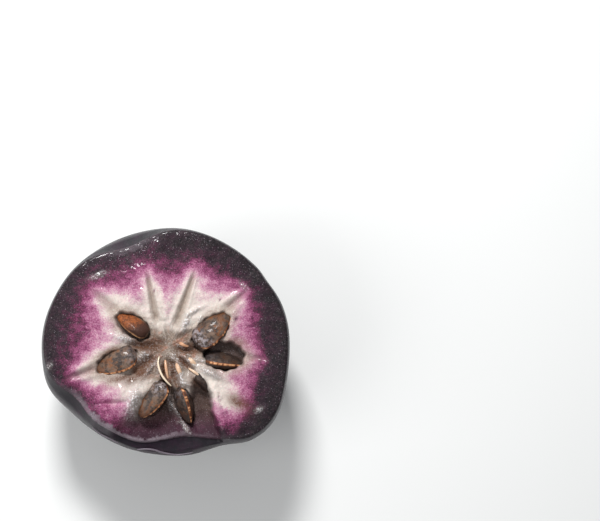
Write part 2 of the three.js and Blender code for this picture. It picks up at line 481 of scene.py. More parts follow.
@dataclass
class CutFace:
    """The relief and the tints of the cut face.

    Attributes:
        outline: The fruit's outline.
        core: Where the chambers meet.
        core_reach: How far from there the face sinks.
        core_depth: How deep it sinks.
        damp_half: How far the damp core reaches to each side.
        damp_up: How far it reaches up the face.
        damp_down: How far it reaches down the face.
        chambers: Directions of the chambers from the core.
        chamber_spread: How widely each chamber's pale ray fades into the flesh between.
        edge_rounding: Radius of the rounded edge between the face and the skin.
        clefts: The grooves that run out from the core.
        bands: The widths of the dark and the blushing bands.
        rind_tint: How purple the flesh is where the dark band ends.
        star_tint: How purple it is where the white star begins.
        seeds: The seeds, each with its pocket.
        mounds: The rises and hollows of the face.
        stains_and_shadows: Brown stains, and brown painted shadow beside the seeds and under the flap.
        flushes: Where it has a purple of its own.
        nicks: The small dark nicks.
        flap_wall: Where the wall between the flap and the torn hollow starts.
        torn_corner: Where the torn hollow's left edge passes.
        torn_top: How far up the face the torn hollow starts.
        torn_depth: How deep the hollow is where flesh tore out.
        painted_shade_side: Direction in which painted shade makes the dark flesh darkest, where less light
            falls.
    """

    outline: FruitOutline
    core: Place = (0.7, -2.6)
    core_reach: float = 17.0
    core_depth: float = 2.2
    damp_half: float = 9.5
    damp_up: float = 5.5
    damp_down: float = 11.0
    chambers: tuple[float, ...] = (72, 107, 145, 196, 248, 287, 318, 352, 35)
    chamber_spread: float = 10.5
    edge_rounding: float = 1.0
    clefts: tuple[Cleft, ...] = CLEFTS
    bands: tuple[BandStation, ...] = BANDS
    rind_tint: float = 0.78
    star_tint: float = 0.22
    seeds: tuple[SeedPlace, ...] = SEEDS
    mounds: tuple[Mound, ...] = (
        Mound((20.8, -17.2), -50, (9.5, 7), 1.5),
        Mound((-13.0, -15.6), 25, (4.6, 3.4), 1.0),
        Mound((-16.8, -21.0), 25, (5, 3.0), 0.9),
        Mound((-15.2, -18.6), 4, (4.6, 0.8), -1.3),
        Mound((-11.8, -0.2), 165, (3.4, 1.4), 1.2, gel=0.75),
        Mound((-6.5, -5.2), 20, (3.0, 1.5), 1.1, gel=0.55),
        Mound((5.7, 4.7), 68, (3.2, 1.2), 1.1, gel=1.0),
        Mound((8.0, 7.9), 28, (3.4, 0.9), 0.8, gel=0.7),
        Mound((9.6, 5.6), 75, (1.4, 0.7), 0.4, gel=0.6),
        Mound((12.4, -9.8), -28, (4.4, 1.2), 1.5, gel=0.95),
        Mound((2.3, -19.4), -54, (4.6, 0.55), 1.2, gel=0.62),
        Mound((1.2, -19.0), -75, (2.0, 0.5), 0.7, gel=0.45),
        Mound((5.9, -25.2), -62, (2.8, 0.8), 1.0, gel=0.7),
        Mound((4.6, -23.4), 10, (1.3, 0.5), 0.6, gel=0.5),
        Mound((5.7, -13.2), -62, (2.4, 1.4), 1.3, gel=0.45),
        Mound((-9.0, -18.2), 74, (5.0, 2.0), 1.1, gel=1.0),
        Mound((-4.2, -8.4), 52, (3.6, 0.7), 0.9, gel=0.5),
        Mound((-2.2, -8.6), -70, (4.4, 0.7), 0.9, gel=0.25),
        Mound((4.1, -10.8), -76, (4.4, 1.2), 1.3, gel=0.8),
        Mound((6.4, -6.4), -38, (3.6, 0.8), 0.9, gel=0.4),
        Mound((9.8, -6.3), -10, (2.8, 0.9), 1.1, gel=0.6),
        Mound((4.4, -1.9), 10, (1.7, 1.0), 0.8, gel=0.3),
        Mound((2.2, -5.4), -30, (1.6, 0.9), 0.5, gel=0.6),
        Mound((0.3, 9.6), 90, (5.6, 3.0), 0.8),
        Mound((-19.7, 17.6), 25, (2.8, 0.9), 0.2, gel=0.6),
        Mound((26.4, -20.2), 30, (1.5, 0.9), 0.2, gel=0.55),
        Mound((21.9, 15.0), -40, (1.9, 0.8), 0.2, gel=0.5),
        Mound((-32.6, -8.2), 60, (1.2, 0.8), 0.1, gel=0.5),
        Mound((-20.5, -11.8), 15, (8.0, 2.8), -0.9),
        Mound((1.6, -19.6), -65, (5.5, 1.3), -1.4),
        Mound((1.9, -14.6), -80, (2.4, 1.0), -2.4),
    )
    stains_and_shadows: tuple[Mound, ...] = STAINS_AND_SHADOWS
    flushes: tuple[Mound, ...] = FLUSHES
    nicks: tuple[Mound, ...] = (
        Mound((-22.5, 1.9), -12, (1.5, 0.35), -0.5),
        Mound((-21.9, 1.3), 50, (0.7, 0.3), -0.4),
        Mound((24.4, 3.5), -8, (1.7, 0.35), -0.5),
        Mound((19.9, 5.5), 60, (0.9, 0.6), -0.5),
        Mound((15.1, -16.7), 70, (0.5, 0.35), -0.4),
        Mound((-3.6, 13.4), 75, (0.7, 0.3), -0.3),
        Mound((15.2, 11.0), 60, (0.6, 0.3), -0.3),
    )
    flap_wall: Place = (10.9, -8.0)
    torn_corner: Place = (-2.5, -12.6)
    torn_top: float = -10.6
    torn_depth: float = 5.0
    painted_shade_side: float = -20.0

    def around_core(self, x: np.ndarray, y: np.ndarray) -> tuple[np.ndarray, np.ndarray]:
        """Gives each place's distance and direction from the core.

        Args:
            x: Places across the face.
            y: Places up the face.

        Returns:
            The distances and the directions.
        """
        dx, dy = x - self.core[0], y - self.core[1]
        return np.hypot(dx, dy), np.degrees(np.arctan2(dy, dx))

    def cleft_marks(self, x: np.ndarray, y: np.ndarray) -> tuple[np.ndarray, np.ndarray, np.ndarray]:
        """Grades how far each place is into a cleft.

        Args:
            x: Places across the face.
            y: Places up the face.

        Returns:
            The depth of the clefts there, how much of a cleft a place is, and how brown it is stained.
        """
        far, angle = self.around_core(x, y)
        depth, mark, brown = np.zeros_like(x), np.zeros_like(x), np.zeros_like(x)
        for cleft in self.clefts:
            away = np.radians(turn_between(angle, cleft.toward))
            aside, ahead = far * np.sin(away) - cleft.aside, far * np.cos(away)
            window = smooth(cleft.start - 2.0, cleft.start + 2.0, ahead)
            window = window * smooth(cleft.end + 1.5, cleft.end - 3.0, ahead)
            narrow = cleft.width * (1.25 - 0.5 * smooth(cleft.start, cleft.end, ahead))
            lips = 0.3 * bell(np.abs(aside) - 1.9 * narrow, 0.8 * narrow)
            depth += window * cleft.depth * (bell(aside, narrow) - lips)
            mark = np.maximum(mark, window * bell(aside, 1.2 * narrow))
            brown = np.maximum(brown, window * bell(aside, 1.7 * narrow) * cleft.brown)
        return depth, mark, brown

    def starness(self, angle: np.ndarray) -> np.ndarray:
        """Gives 1 along the directions of the nine chambers and falls to nought between them."""
        rays = [bell(turn_between(angle, toward), self.chamber_spread) for toward in self.chambers]
        return np.clip(sum(rays), 0, 1)

    def pocket_marks(self, x: np.ndarray, y: np.ndarray) -> tuple[np.ndarray, np.ndarray, np.ndarray]:
        """Grades how far each place is into a seed's pocket, and how near to one.

        Args:
            x: Places across the face.
            y: Places up the face.

        Returns:
            0 to 1 for the pocket itself, 0 to 1 for the damp flesh round it, and the pocket's depth.
        """
        pocket, damp, hollow = np.zeros_like(x), np.zeros_like(x), np.zeros_like(x)
        for seed in (each for each in self.seeds if each.bared):
            middle = seed.middle()
            at = (middle.x + seed.gap[0], middle.y + seed.gap[1])
            reach = Mound(at, seed.toward, seed.pocket, 0).reach(x, y)
            wavy = reach + 0.07 * np.sin(x * 1.7 + seed.toward) * np.cos(y * 1.9 - seed.toward)
            inside = smooth(1.08, 0.88, wavy)
            pocket = np.maximum(pocket, inside)
            hollow = np.maximum(hollow, inside * seed.hollow)
            damp = np.maximum(damp, smooth(1.75, 1.0, wavy))
        return pocket, damp, hollow

    def wall_x(self, y: np.ndarray, ragged: np.ndarray) -> np.ndarray:
        """Gives where the flap's wall stands across the face, at each place up it."""
        return self.flap_wall[0] + 0.25 * (self.flap_wall[1] - y) + 0.7 * ragged

    def torn_mark(self, x: np.ndarray, y: np.ndarray, ragged: np.ndarray) -> np.ndarray:
        """Grades how far each place is into the hollow where a piece of flesh tore out.

        Args:
            x: Places across the face.
            y: Places up the face.
            ragged: Random relief that frays the hollow's edges.

        Returns:
            0 outside it and 1 well inside.
        """
        wall = self.wall_x(y, ragged)
        right = smooth(wall + 0.3, wall - 1.1, x)
        left_edge = self.torn_corner[0] + 0.85 * (y - self.torn_corner[1]) + 0.8 * ragged
        left = smooth(left_edge - 2.5, left_edge + 5.0, x)
        start = self.torn_top - 2.8 * smooth(8.6, 6.4, x)
        top = smooth(start, start - 5.4, y + 1.2 * ragged)
        return right * left * top

    def flap_edge_mark(self, x: np.ndarray, y: np.ndarray, ragged: np.ndarray) -> np.ndarray:
        """Grades the lifted edge of the flap that stands along the torn hollow.

        Args:
            x: Places across the face.
            y: Places up the face.
            ragged: Random relief that frays the edge.

        Returns:
            1 on the edge, falling to 0 on both sides.
        """
        aside = x - self.wall_x(y, ragged) - 1.3
        return bell(aside, 1.5) * smooth(-6.6, -10.6, y) * smooth(-30.0, -25.0, y)

    def stain_and_shadow_mark(self, x: np.ndarray, y: np.ndarray) -> np.ndarray:
        """Grades the brown stains and the brown painted shadow at each place."""
        return np.max([brown_patch.amount * brown_patch.share(x, y) for brown_patch in self.stains_and_shadows], 0)

    def ragged(self, x: np.ndarray, y: np.ndarray) -> np.ndarray:
        """Gives the random relief that frays the edges of marks, about -1 to 1."""
        return flat_field(x, y, 2.4, 3, seed=2)

    def fibres(self, x: np.ndarray, y: np.ndarray) -> np.ndarray:
        """Gives random streaks that run out from the core.

        Args:
            x: Places across the face.
            y: Places up the face.

        Returns:
            One value a place, about -1 to 1.
        """
        far, angle = self.around_core(x, y)
        turn = np.radians(angle)
        round_core = np.column_stack([np.cos(turn) * 9, np.sin(turn) * 9, far * 0.35])
        return rough_field(round_core, 2.0, 3, seed=11)

    def core_reach_at(self, x: np.ndarray, y: np.ndarray) -> np.ndarray:
        """Gives how far out of the damp core each place is, where 1 is its edge."""
        dx, dy = x - self.core[0], y - self.core[1]
        return np.hypot(dx / self.damp_half, dy / np.where(dy > 0, self.damp_up, self.damp_down))

    def gel_mark(self, x: np.ndarray, y: np.ndarray) -> np.ndarray:
        """Grades how far each place is clear wet gel."""
        return np.max([mound.gel * mound.share(x, y) for mound in self.mounds if mound.gel], 0)

    def nick_mark(self, x: np.ndarray, y: np.ndarray) -> np.ndarray:
        """Grades how far each place is in one of the small dark nicks."""
        return np.max([nick.share(x, y) for nick in self.nicks], 0)

    def heights(self, x: np.ndarray, y: np.ndarray, angle: np.ndarray, share: np.ndarray) -> np.ndarray:
        """Gives the height of the cut face.

        Args:
            x: Places across the face.
            y: Places up the face.
            angle: Directions of the spokes that the places are on.
            share: How far out along its spoke each place is.

        Returns:
            The heights.
        """
        broad = flat_field(x, y, 7.0, 2, seed=1)
        ragged = self.ragged(x, y)
        fine = flat_field(x, y, 1.0, 2, seed=3)
        far, _ = self.around_core(x, y)
        gel = self.gel_mark(x, y)
        middle = smooth(16.0, 8.0, far)
        z = self.outline.cut_z + 0.35 * broad + (0.14 + 0.2 * middle) * ragged
        z = z + (0.05 + 0.1 * middle + 0.22 * gel) * fine
        z = z + (0.05 + 0.22 * middle) * self.fibres(x, y) * smooth(0.5, 3.0, far)
        z = z - (self.outline.cut_z - self.outline.rim_z(angle)) * smooth(0.5, 1.0, share)
        z = z - self.core_depth * np.clip(1 - (far / self.core_reach) ** 2, 0, 1) ** 1.3
        z = z + sum(mound.rise * mound.share(x, y) for mound in self.mounds + self.nicks)
        z = z - self.cleft_marks(x, y)[0]
        torn = self.torn_mark(x, y, ragged)
        z = z - torn * (self.torn_depth + 0.4 * ragged) * (1 - 0.5 * smooth(0.75, 0.98, share))
        z = z + 0.9 * self.flap_edge_mark(x, y, ragged)
        _, _, hollow = self.pocket_marks(x, y)
        z = z - hollow * (1 - 0.45 * torn)
        from_rim = (1 - share) * self.outline.rim_radius(angle)
        over = np.clip(self.edge_rounding - from_rim, 0, None)
        return z - self.edge_rounding + np.sqrt(np.clip(self.edge_rounding**2 - over**2, 0, None))

    def band_widths(self, angle: np.ndarray) -> tuple[np.ndarray, np.ndarray]:
        """Gives the widths of the dark and of the blushing band.

        Args:
            angle: Directions from the axis.

        Returns:
            The dark band's widths and the blushing band's.
        """
        toward = [station.toward for station in self.bands]
        steps = (-6.0, 0.0, 6.0)

        def evened(widths: list[float]) -> np.ndarray:
            """Evens out one band's widths over its directions."""
            return np.mean([np.interp(angle + step, toward, widths, period=360) for step in steps], 0)

        rind = evened([station.rind for station in self.bands])
        return rind, evened([station.blush for station in self.bands])

    def blush(self, x: np.ndarray, y: np.ndarray) -> np.ndarray:
        """Grades the flesh from white through magenta to dark purple.

        Args:
            x: Places across the face.
            y: Places up the face.

        Returns:
            0 for white to 1 for the darkest purple.
        """
        out_angle = np.degrees(np.arctan2(y, x))
        inward = self.outline.widest(out_angle) - np.hypot(x, y)
        rind, wide = self.band_widths(out_angle)
        _, core_angle = self.around_core(x, y)
        star = self.starness(core_angle)
        rind = rind * (1.05 - 0.2 * star)
        wide = wide * (1.3 - 0.62 * star)
        inside = (inward - rind) / wide
        outer = self.rind_tint - (1 - self.rind_tint) * inside * wide / rind
        inner = self.rind_tint - (self.rind_tint - self.star_tint) * inside
        tint = np.clip(np.where(inside < 0, outer, inner), 0, 1)
        tint = np.where(inside > 1, self.star_tint * np.exp(-1.7 * (inside - 1)), tint)
        for flush in self.flushes:
            tint = tint + (flush.amount - tint) * flush.share(x, y)
        # Painted shade: the dark band gets darker towards one side, where less light falls.
        toward_painted_shade = np.cos(np.radians(out_angle - self.painted_shade_side))
        return np.clip(tint + np.where(inside < 0.2, 0.02 + 0.05 * toward_painted_shade, 0.0), 0, 1)


# ---------------------------------------------------------------------------------------------------------
# Finishes
# ---------------------------------------------------------------------------------------------------------


class Shader:
    """A node tree with short calls for adding and joining nodes.

    Attributes:
        tree: The tree.
    """

    def __init__(self, tree: bpy.types.NodeTree) -> None:
        """Takes the tree to build in."""
        self.tree = tree

    def node(self, kind: str, **settings: object) -> bpy.types.Node:
        """Adds a node.

        Args:
            kind: The node's type, such as ShaderNodeMix.
            **settings: Its properties.

        Returns:
            The node.
        """
        made = self.tree.nodes.new(kind)
        for name, value in settings.items():
            setattr(made, name, value)
        return made

    def join(self, source: Socket, target: Socket) -> None:
        """Links an output to an input."""
        self.tree.links.new(source, target)

    def feed(self, target: Socket, value: Number | Paint) -> None:
        """Links a socket to an input, or sets the input to a plain value.

        Args:
            target: The input.
            value: The socket or the plain value.
        """
        if isinstance(value, Socket):
            self.join(value, target)
        else:
            target.default_value = value

    def math(
        self, operation: str, first: Number, second: Number, third: Number = 0.0, clamp: bool = False
    ) -> Socket:
        """Adds a Math node.

        Args:
            operation: What it does, such as MULTIPLY_ADD.
            first: Its first value or link.
            second: Its second.
            third: Its third.
            clamp: Whether its result is kept within 0 and 1.

        Returns:
            The result.
        """
        made = self.node("ShaderNodeMath", operation=operation, use_clamp=clamp)
        for socket, value in zip(made.inputs, (first, second, third)):
            self.feed(socket, value)
        return made.outputs[0]

    def mix(self, amount: Number, first: Paint, second: Paint) -> Socket:
        """Mixes two colours.

        Args:
            amount: How much of the second.
            first: The first colour or link.
            second: The second.

        Returns:
            The mixed colour.
        """
        made = self.node("ShaderNodeMix", data_type="RGBA")
        self.feed(made.inputs[0], amount)
        self.feed(made.inputs[6], first)
        self.feed(made.inputs[7], second)
        return made.outputs[2]

    def grade(
        self, value: Number, low: float, high: float, to_low: float = 0.0, to_high: float = 1.0
    ) -> Socket:
        """Maps a value from one range to another, smoothly and within the ends.

        Args:
            value: The value to grade.
            low: Where its range starts.
            high: Where its range ends.
            to_low: What `low` becomes.
            to_high: What `high` becomes.

        Returns:
            The graded value.
        """
        made = self.node("ShaderNodeMapRange", interpolation_type="SMOOTHSTEP")
        for socket, each in zip(made.inputs, (value, low, high, to_low, to_high)):
            self.feed(socket, each)
        return made.outputs[0]

    def attribute(self, name: str) -> Socket:
        """Reads one of the mesh's own values."""
        return self.node("ShaderNodeAttribute", attribute_name=name).outputs["Fac"]

    def place(self) -> Socket:
        """Gives the place on the object, in metres."""
        return self.node("ShaderNodeTexCoord").outputs["Object"]

    def ramp(self, value: Socket, stops: tuple[tuple[float, Color], ...]) -> Socket:
        """Colours a value by a row of stops.

        Args:
            value: The value to colour.
            stops: Each stop's place and colour.

        Returns:
            The colour.
        """
        made = self.node("ShaderNodeValToRGB")
        elements = made.color_ramp.elements
        while len(elements) < len(stops):
            elements.new(1.0)
        for element, (place, color) in zip(elements, stops):
            element.position = place
            element.color = color
        self.join(value, made.inputs[0])
        return made.outputs[0]

    def noise(self, place: Socket, grain: float, detail: float, roughness: float = 0.5) -> Socket:
        """Adds even noise.

        Args:
            place: The place on the object, in metres.
            grain: How far across its lumps are, in millimetres.
            detail: How many finer layers it has.
            roughness: How strong those layers are.

        Returns:
            The noise, from 0 to 1.
        """
        made = self.node("ShaderNodeTexNoise")
        self.join(place, made.inputs["Vector"])
        made.inputs["Scale"].default_value = 1 / (grain * MM)
        made.inputs["Detail"].default_value = detail
        made.inputs["Roughness"].default_value = roughness
        return made.outputs["Fac"]

    def juicy_grain(self, grain: float, patch: float) -> bpy.types.Node:
        """Adds the grain of wet cells.

        Args:
            grain: Size of its grain, in millimetres.
            patch: Size of its wet and dry patches, in millimetres.

        Returns:
            The node.
        """
        made = self.node("ShaderNodeGroup", node_tree=Groups.juicy_grain())
        made.inputs["Grain"].default_value = grain
        made.inputs["Patch"].default_value = patch
        return made

    def roughen(self, surface: bpy.types.Node, height: Socket, depth: float) -> None:
        """Gives a surface a fine relief.

        Args:
            surface: The surface's node.
            height: The relief.
            depth: How deep it is, in millimetres.
        """
        bump = self.node("ShaderNodeBump")
        bump.inputs["Distance"].default_value = depth * MM
        self.join(height, bump.inputs["Height"])
        self.join(bump.outputs["Normal"], surface.inputs["Normal"])


class Groups:
    """The effects that more than one material uses, each built once.

    Attributes:
        made: The groups that are built so far, by their names.
    """

    made: dict[str, bpy.types.NodeTree] = {}

    @classmethod
    def new_tree(cls, name: str, inputs: dict[str, float], outputs: tuple[str, ...]) -> bpy.types.NodeTree:
        """Starts a group with named number sockets.

        Args:
            name: The group's name.
            inputs: Each input's name and its usual value.
            outputs: The outputs' names.

        Returns:
            The group's tree.
        """
        tree = bpy.data.node_groups.new(name, "ShaderNodeTree")
        for each, usual in inputs.items():
            socket = tree.interface.new_socket(name=each, in_out="INPUT", socket_type="NodeSocketFloat")
            socket.default_value = usual
        for each in outputs:
            tree.interface.new_socket(name=each, in_out="OUTPUT", socket_type="NodeSocketFloat")
        cls.made[name] = tree
        return tree

    @classmethod
    def juicy_grain(cls) -> bpy.types.NodeTree:
        """Gives the group for the grain of wet cells: a tint, a height, a wetness and sparse bright specks.

        Returns:
            The group, with the sizes of its grain and its patches in millimetres as its inputs.
        """
        name = "juicy_grain"
        if name in cls.made:
            return cls.made[name]
        tree = cls.new_tree(name, {"Grain": 0.4, "Patch": 3.0}, ("Tint", "Height", "Wet", "Specks"))
        shader = Shader(tree)
        source = shader.node("NodeGroupInput")
        sink = shader.node("NodeGroupOutput")
        place = shader.place()
        cells = shader.node("ShaderNodeTexVoronoi", feature="SMOOTH_F1")
        cells.inputs["Smoothness"].default_value = 0.6
        speckle = shader.node("ShaderNodeTexNoise")
        patches = shader.node("ShaderNodeTexNoise")
        beads = shader.node("ShaderNodeTexNoise")
        size = shader.math("DIVIDE", 1 / MM, source.outputs["Grain"])
        broad = shader.math("DIVIDE", 1 / MM, source.outputs["Patch"])
        tiny = shader.math("MULTIPLY", size, 1.3)
        for made, scale in ((cells, size), (speckle, size), (patches, broad), (beads, tiny)):
            shader.join(place, made.inputs["Vector"])
            shader.join(scale, made.inputs["Scale"])
        speckle.inputs["Detail"].default_value = 3.0
        speckle.inputs["Roughness"].default_value = 0.7
        patches.inputs["Detail"].default_value = 3.0
        fine = shader.math("SUBTRACT", speckle.outputs["Fac"], 0.5)
        wide = shader.math("SUBTRACT", patches.outputs["Fac"], 0.5)
        cell = shader.math("SUBTRACT", cells.outputs["Distance"], 0.35)
        tint = shader.math("MULTIPLY_ADD", wide, 0.7, shader.math("MULTIPLY", cell, 0.5))
        tint = shader.math("MULTIPLY_ADD", fine, 1.6, tint)
        height = shader.math("SUBTRACT", fine, shader.math("MULTIPLY", cell, 0.6))
        wet = shader.grade(patches.outputs["Fac"], 0.35, 0.65)
        specks = shader.grade(beads.outputs["Fac"], 0.66, 0.74)
        for each, value in (("Tint", tint), ("Height", height), ("Wet", wet), ("Specks", specks)):
            shader.join(value, sink.inputs[each])
        return tree


def new_material(name: str) -> tuple[bpy.types.Material, Shader, bpy.types.Node]:
    """Starts a material.

    Args:
        name: Its name.

    Returns:
        The material, its shader and its surface's node.
    """
    material = bpy.data.materials.new(name)
    material.use_nodes = True
    return material, Shader(material.node_tree), material.node_tree.nodes["Principled BSDF"]


@dataclass(frozen=True)
class Mark:
    """A colour laid over the flesh wherever one of the mesh's own values is more than nought.

    Attributes:
        name: The value's name.
        tint: The colour.
        reach: How far the grain frays the mark.
        level: How strong the mark is where the grain is even.
    """

    name: str
    tint: Paint
    reach: float
    level: float

    def over(self, color: Paint, shader: Shader, grain: bpy.types.Node) -> Socket:
        """Lays the mark over a colour.

        Args:
            color: The colour.
            shader: The material's shader.
            grain: The grain of wet cells.

        Returns:
            The marked colour.
        """
        amount = shader.math("MULTIPLY_ADD", grain.outputs["Tint"], self.reach, self.level)
        amount = shader.math("MULTIPLY", shader.attribute(self.name), amount, clamp=True)
        return shader.mix(amount, color, self.tint)


@dataclass(frozen=True)
class FruitFinish:
    """The wet cut flesh, from white to dark purple, the damp core, and the smooth dark skin.

    Attributes:
        flesh: The flesh's colours from the white star, 0, to the rim, 1.
        cleft_inner: The clefts near the core.
        cleft_outer: The clefts further out.
        damp: Damp flesh round the seeds.
        brown: Brown stains, and brown painted shadow beside the seeds and under the flap.
        pocket: Painted shadow in a seed's pocket, the dark gap round the seed.
        core: The damp core.
        core_warm: Warmer patches of the core.
        gel: Clear wet gel.
        painted_glint: Painted highlight for the bright glints on the gel and the core.
        nick: The small dark nicks.
        torn_inner_and_shadow: The torn hollow near the core, its own brown deepened with painted shadow.
        torn_outer_and_shadow: The torn hollow near the rim, its own purple deepened with painted shadow.
        cut_edge: The pale edge where the knife dragged the skin.
        skin: The skin.
        skin_blotch: Warmer blotches of the skin.
        painted_sparkle: Painted highlight for the bright sparkles on wet cells.
        grime: Dull patches of the flesh.
    """

    flesh: tuple[tuple[float, Color], ...] = (
        (0.0, rgb(224, 214, 204)),
        (0.14, rgb(220, 206, 199)),
        (0.28, rgb(200, 160, 174)),
        (0.42, rgb(178, 116, 146)),
        (0.55, rgb(138, 64, 104)),
        (0.68, rgb(92, 37, 66)),
        (0.82, rgb(44, 23, 37)),
        (1.0, rgb(20, 13, 19)),
    )
    cleft_inner: Color = rgb(164, 148, 134)
    cleft_outer: Color = rgb(146, 108, 118)
    damp: Color = rgb(140, 118, 102)
    brown: Color = rgb(98, 66, 48)
    pocket: Color = rgb(66, 50, 46)
    core: Color = rgb(116, 98, 84)
    core_warm: Color = rgb(148, 100, 76)
    gel: Color = rgb(158, 150, 145)
    painted_glint: Color = rgb(238, 236, 238)
    nick: Color = rgb(90, 32, 66)
    torn_inner_and_shadow: Color = rgb(74, 56, 50)
    torn_outer_and_shadow: Color = rgb(56, 28, 42)
    cut_edge: Color = rgb(126, 114, 122)
    skin: Color = rgb(31, 27, 34)
    skin_blotch: Color = rgb(44, 28, 42)
    painted_sparkle: Color = rgb(206, 194, 204)
    grime: Color = rgb(112, 92, 92)

    def build(self) -> bpy.types.Material:
        """Builds the material.

        Returns:
            The material.
        """
        material, shader, surface = new_material("star_apple_flesh_and_skin")
        place = shader.place()
        grain = shader.juicy_grain(0.36, 3.2)
        painted_glints = self.painted_glints(shader, place)
        skin = shader.attribute("skin")
        wet_flesh = shader.math("MULTIPLY_ADD", skin, -0.85, 1.0)
        # Painted highlight: bright glints laid into the colour of the gel and the core.
        color = shader.mix(painted_glints, self.marked_flesh(shader, place, grain), self.painted_glint)
        color = Mark("cut_edge", self.cut_edge, 0.9, 0.9).over(color, shader, grain)
        blotch = shader.grade(shader.noise(place, 5.0, 5.0, 0.6), 0.42, 0.68)
        color = shader.mix(skin, color, shader.mix(blotch, self.skin, self.skin_blotch))
        # Painted highlight: pale sparkles laid into the colour of wet cells, most along the crest and on the
        # gel.
        sparkle_strength = shader.math("MULTIPLY_ADD", shader.attribute("crest"), 1.2, 0.5)
        sparkle_strength = shader.math("MULTIPLY_ADD", shader.attribute("gel"), 0.9, sparkle_strength)
        sparkle_strength = shader.math("MULTIPLY", wet_flesh, sparkle_strength)
        painted_sparkles = shader.math("MULTIPLY", grain.outputs["Specks"], sparkle_strength, clamp=True)
        shader.join(shader.mix(painted_sparkles, color, self.painted_sparkle), surface.inputs["Base Color"])
        self.wet(shader, surface, grain, painted_glints, wet_flesh)
        height = shader.math("MULTIPLY", grain.outputs["Height"], shader.grade(skin, 0.0, 1.0, 1.0, 0.06))
        height = shader.math("MULTIPLY_ADD", shader.noise(place, 1.4, 3.0), 1.2, height)
        shader.roughen(surface, height, 0.12)
        return material

    def plain_flesh(self, shader: Shader, place: Socket, grain: bpy.types.Node) -> Socket:
        """Colours the flesh from its white star to its dark rim.

        Args:
            shader: The material's shader.
            place: The place on the object.
            grain: The grain of wet cells.

        Returns:
            The colour.
        """
        blush = shader.attribute("blush")
        middle = shader.grade(blush, 0.02, 0.3, 0.16, 0.34)
        late = shader.grade(blush, 0.7, 1.0, 1.0, 0.5)
        swing = shader.math("MULTIPLY", middle, late)
        patches = shader.grade(shader.noise(place, 2.6, 3.0), 0.3, 0.7, -0.08, 0.08)
        tint = shader.math("MULTIPLY_ADD", grain.outputs["Tint"], swing, blush)
        tint = shader.math("MULTIPLY_ADD", patches, shader.grade(blush, 0.05, 0.3, 0.3, 1.0), tint)
        return shader.ramp(tint, self.flesh)

    def marked_flesh(self, shader: Shader, place: Socket, grain: bpy.types.Node) -> Socket:
        """Lays the clefts, the damp core, the stains, the hollows and the gel over the plain flesh.

        Args:
            shader: The material's shader.
            place: The place on the object.
            grain: The grain of wet cells.

        Returns:
            The colour.
        """
        outward = shader.attribute("outward")
        cleft = shader.mix(shader.grade(outward, 0.45, 0.75), self.cleft_inner, self.cleft_outer)
        # The torn hollow's own colour, deepened with painted shadow.
        torn = shader.mix(shader.grade(outward, 0.6, 0.92), self.torn_inner_and_shadow, self.torn_outer_and_shadow)
        warm = shader.grade(shader.noise(place, 2.0, 3.0), 0.5, 0.66)
        core = shader.mix(warm, self.core, self.core_warm)
        grime = shader.grade(shader.noise(place, 0.6, 4.0, 0.7), 0.45, 0.7, 0.0, 0.35)
        color = self.plain_flesh(shader, place, grain)
        for mark in (Mark("cleft", cleft, 0.4, 0.7), Mark("damp", self.damp, 0.8, 0.6)):
            color = mark.over(color, shader, grain)
        color = shader.mix(grime, color, shader.mix(0.5, color, self.grime))
        marks = (
            Mark("core", core, 0.5, 0.85),
            Mark("brown", self.brown, 0.6, 1.15),
            Mark("nick", self.nick, 0.4, 0.85),
            Mark("torn", torn, 0.3, 0.95),
            # Painted shadow in the seeds' pockets.
            Mark("pocket", self.pocket, 0.2, 0.95),
            Mark("gel", self.gel, 1.2, 0.6),
        )
        for mark in marks:
            color = mark.over(color, shader, grain)
        return color

    def painted_glints(self, shader: Shader, place: Socket) -> Socket:
        """Works out where painted glints go on the gel and the core.

        Args:
            shader: The material's shader.
            place: The place on the object.

        Returns:
            0 for none to 1 for a bright painted glint.
        """
        beads = shader.grade(shader.noise(place, 0.5, 2.0, 0.6), 0.53, 0.6)
        wetness = shader.math("MULTIPLY_ADD", shader.attribute("core"), 0.1, shader.attribute("gel"))
        return shader.math("MULTIPLY", beads, shader.math("MULTIPLY", wetness, 1.1), clamp=True)

    def wet(
        self,
        shader: Shader,
        surface: bpy.types.Node,
        grain: bpy.types.Node,
        painted_glints: Socket,
        wet_flesh: Socket,
    ) -> None:
        """Makes the surface as glossy as its wet and its dry parts are.

        Args:
            shader: The material's shader.
            surface: The surface's node.
            grain: The grain of wet cells.
            painted_glints: Where painted glints lie on the gel and the core.
            wet_flesh: 1 on the flesh, and little on the skin.
        """
        specks, skin, gel = grain.outputs["Specks"], shader.attribute("skin"), shader.attribute("gel")
        rough = shader.math("MULTIPLY_ADD", specks, -0.3, 0.62)
        rough = shader.math("MULTIPLY_ADD", gel, -0.3, rough)
        rough = shader.math("MULTIPLY_ADD", painted_glints, -0.2, rough)
        rough = shader.math("MULTIPLY_ADD", skin, -0.12, rough, clamp=True)
        shader.join(rough, surface.inputs["Roughness"])
        coat = shader.math("MULTIPLY_ADD", grain.outputs["Wet"], 0.3, 0.02)
        for value, share in ((specks, 0.5), (gel, 0.5), (painted_glints, 0.6), (shader.attribute("crest"), 0.7)):
            coat = shader.math("MULTIPLY_ADD", value, share, coat)
        coat = shader.math("MULTIPLY", coat, wet_flesh)
        coat = shader.math("MULTIPLY_ADD", skin, 0.22, coat, clamp=True)
        whole = shader.math("MULTIPLY_ADD", shader.attribute("torn"), -1.0, 1.0)
        shader.join(shader.math("MULTIPLY", coat, whole), surface.inputs["Coat Weight"])
        surface.inputs["Coat Roughness"].default_value = 0.1
        surface.inputs["Specular IOR Level"].default_value = 0.22
        surface.inputs["Subsurface Weight"].default_value = 0.1
        surface.inputs["Subsurface Radius"].default_value = (1.0, 0.45, 0.5)
        surface.inputs["Subsurface Scale"].default_value = 1.0 * MM


